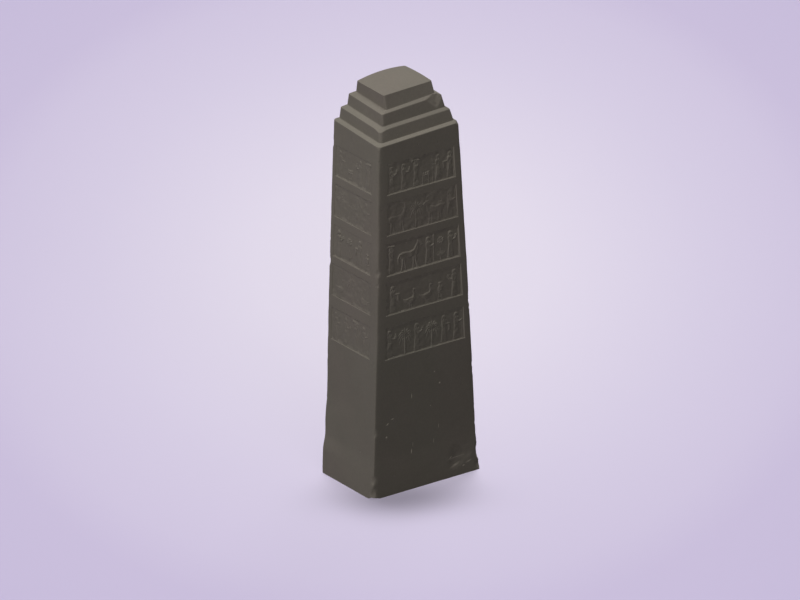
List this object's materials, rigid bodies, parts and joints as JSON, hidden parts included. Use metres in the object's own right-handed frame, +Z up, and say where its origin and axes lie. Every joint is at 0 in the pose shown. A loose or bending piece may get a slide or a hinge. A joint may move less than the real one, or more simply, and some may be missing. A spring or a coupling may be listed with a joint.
{
  "type": "stepped stone obelisk",
  "caption": "Tapered four-sided block of dark limestone with a stepped crown and rows of sunk carved registers on every face; worn arrises and small losses.",
  "frame": {"origin": "middle of the underside, on the ground", "axes": "+Z up the block; the broad faces look along -Y and +Y, the narrow faces along -X and +X"},
  "size_m": [0.6154, 0.4054, 1.98],
  "materials": {
    "limestone": "matt dark grey limestone, finely pecked and weathered"
  },
  "bodies": {
    "root": {"monolith": "limestone"}
  },
  "joints": []
}
